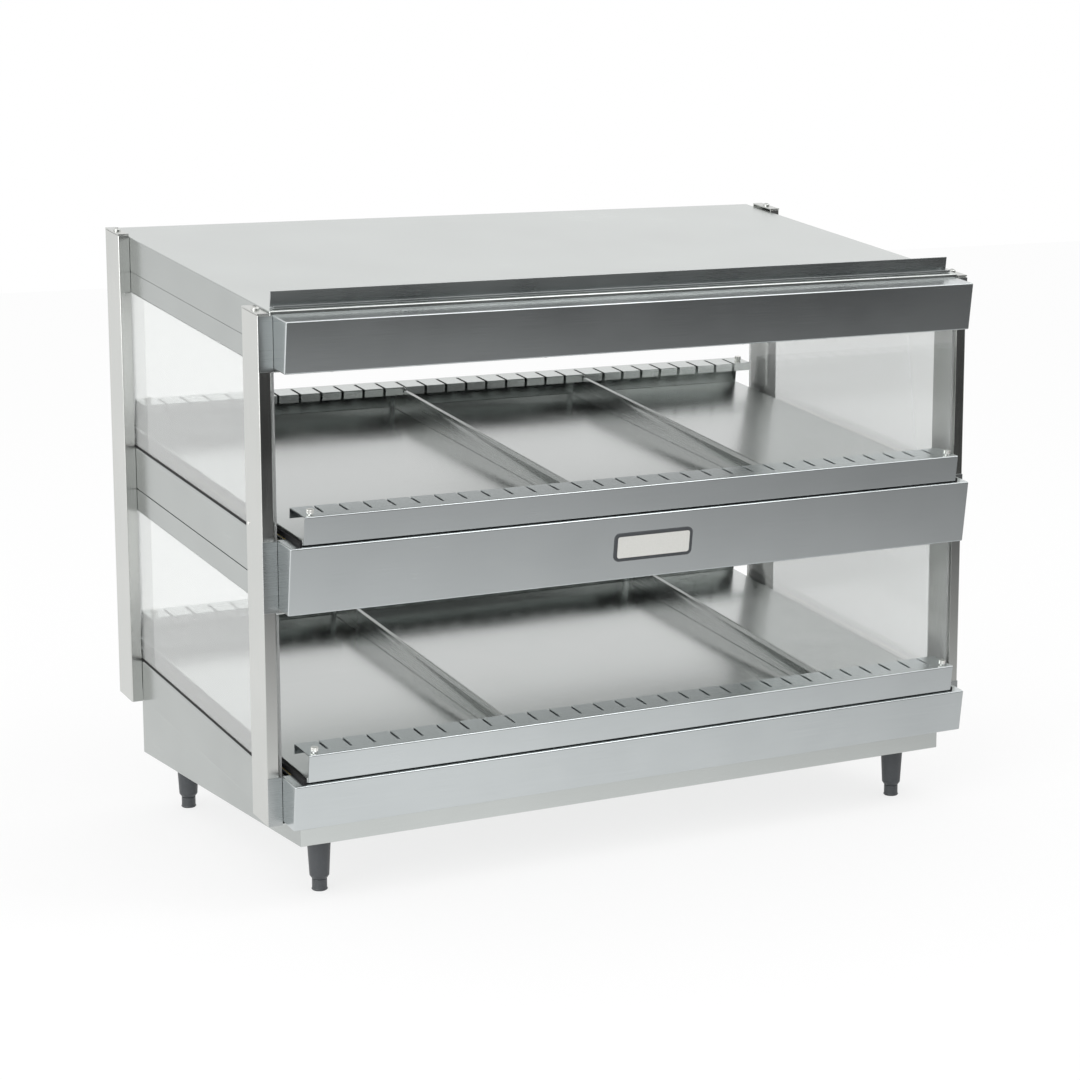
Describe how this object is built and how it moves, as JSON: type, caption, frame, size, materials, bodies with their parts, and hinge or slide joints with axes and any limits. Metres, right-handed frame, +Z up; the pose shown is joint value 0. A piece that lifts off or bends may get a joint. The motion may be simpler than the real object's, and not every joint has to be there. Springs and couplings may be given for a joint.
{
  "type": "heated shelf merchandiser",
  "caption": "Countertop heated display with sloping shelves under a lit canopy, slotted rails with lift-out lane dividers, clear side panes and legs with adjustable feet.",
  "frame": {"origin": "on the ground below the middle of the cabinet, between the feet", "axes": "+X to the right along the front, -Y out of the front, +Z up"},
  "size_m": [0.914, 0.49, 0.7007],
  "materials": {
    "stainless_steel": "brushed stainless steel sheet, grain along the length",
    "shaded_steel": "brushed stainless steel sheet, darker",
    "deck_aluminium": "satin anodised aluminium plate",
    "heater_foil": "foil heater mat",
    "wool_board": "glass wool board",
    "zinc_steel": "zinc plated steel",
    "black_plastic": "black moulded plastic",
    "clear_pane": "clear sheet, polished edges",
    "lamp_glass": "frosted lamp tube"
  },
  "bodies": {
    "cabinet": {"base_control_panel": "stainless_steel", "base_deck": "deck_aluminium", "base_fascia": "stainless_steel", "base_front_rail": "stainless_steel", "base_heater": "heater_foil", "base_insulation": "wool_board", "base_pan": "stainless_steel", "base_rear_rail": "stainless_steel", "base_skirt": "stainless_steel", "base_thermostat": "zinc_steel", "canopy_fascia": "stainless_steel", "canopy_lamp": "lamp_glass", "canopy_lamp_holder": "zinc_steel", "canopy_light_tray": "stainless_steel", "canopy_top": "stainless_steel", "cord_gland": "black_plastic", "leg_front_left": "black_plastic", "leg_front_right": "black_plastic", "leg_rear_left": "black_plastic", "leg_rear_right": "black_plastic", "light_switch_housing": "black_plastic", "pane_lower_left": "clear_pane", "pane_lower_right": "clear_pane", "pane_upper_left": "clear_pane", "pane_upper_right": "clear_pane", "post_cap_front_left": "stainless_steel", "post_cap_front_right": "stainless_steel", "post_cap_rear_left": "stainless_steel", "post_cap_rear_right": "stainless_steel", "post_front_left": "stainless_steel", "post_front_right": "stainless_steel", "post_rear_left": "stainless_steel", "post_rear_right": "stainless_steel", "power_switch_housing": "black_plastic", "shelf_control_panel": "stainless_steel", "shelf_deck": "deck_aluminium", "shelf_fascia": "stainless_steel", "shelf_front_rail": "stainless_steel", "shelf_heater": "heater_foil", "shelf_insulation": "wool_board", "shelf_lamp": "lamp_glass", "shelf_lamp_holder": "zinc_steel", "shelf_light_tray": "stainless_steel", "shelf_pan": "stainless_steel", "shelf_rear_rail": "stainless_steel", "shelf_thermostat": "zinc_steel", "sign_holder": "shaded_steel", "terminal_block": "zinc_steel"},
    "shelf_knob": {"shelf_knob": "black_plastic"},
    "base_knob": {"base_knob": "black_plastic"},
    "light_switch": {"light_switch": "black_plastic"},
    "power_switch": {"power_switch": "black_plastic"},
    "foot_front_left": {"foot_front_left": "black_plastic"},
    "foot_front_right": {"foot_front_right": "black_plastic"},
    "foot_rear_left": {"foot_rear_left": "black_plastic"},
    "foot_rear_right": {"foot_rear_right": "black_plastic"},
    "shelf_divider_left": {"shelf_divider_left": "shaded_steel"},
    "shelf_divider_right": {"shelf_divider_right": "shaded_steel"},
    "base_divider_left": {"base_divider_left": "shaded_steel"},
    "base_divider_right": {"base_divider_right": "shaded_steel"}
  },
  "joints": [
    {"name": "shelf_knob_turn", "type": "hinge", "parent": "cabinet", "child": "shelf_knob", "pos_m": [0.3, 0.2247, 0.42609], "axis": [0, -0.9914, -0.1305], "range_deg": [0, 270]},
    {"name": "base_knob_turn", "type": "hinge", "parent": "cabinet", "child": "base_knob", "pos_m": [0.3, 0.2247, 0.17109], "axis": [0, -0.9914, -0.1305], "range_deg": [0, 270]},
    {"name": "light_switch_tip", "type": "hinge", "parent": "cabinet", "child": "light_switch", "pos_m": [0.22, 0.22371, 0.42596], "axis": [1, 0, 0], "range_deg": [0, 16]},
    {"name": "power_switch_tip", "type": "hinge", "parent": "cabinet", "child": "power_switch", "pos_m": [0.22, 0.22371, 0.17096], "axis": [1, 0, 0], "range_deg": [0, 16]},
    {"name": "foot_front_left_screw", "type": "slide", "parent": "cabinet", "child": "foot_front_left", "axis": [0, 0, -1], "range_m": [0, 0.012]},
    {"name": "foot_front_right_screw", "type": "slide", "parent": "cabinet", "child": "foot_front_right", "axis": [0, 0, -1], "range_m": [0, 0.012]},
    {"name": "foot_rear_left_screw", "type": "slide", "parent": "cabinet", "child": "foot_rear_left", "axis": [0, 0, -1], "range_m": [0, 0.012]},
    {"name": "foot_rear_right_screw", "type": "slide", "parent": "cabinet", "child": "foot_rear_right", "axis": [0, 0, -1], "range_m": [0, 0.012]},
    {"name": "shelf_divider_left_lift", "type": "slide", "parent": "cabinet", "child": "shelf_divider_left", "axis": [0, -0.1305, 0.9914], "range_m": [0, 0.06]},
    {"name": "shelf_divider_right_lift", "type": "slide", "parent": "cabinet", "child": "shelf_divider_right", "axis": [0, -0.1305, 0.9914], "range_m": [0, 0.06]},
    {"name": "base_divider_left_lift", "type": "slide", "parent": "cabinet", "child": "base_divider_left", "axis": [0, -0.1305, 0.9914], "range_m": [0, 0.06]},
    {"name": "base_divider_right_lift", "type": "slide", "parent": "cabinet", "child": "base_divider_right", "axis": [0, -0.1305, 0.9914], "range_m": [0, 0.06]}
  ]
}
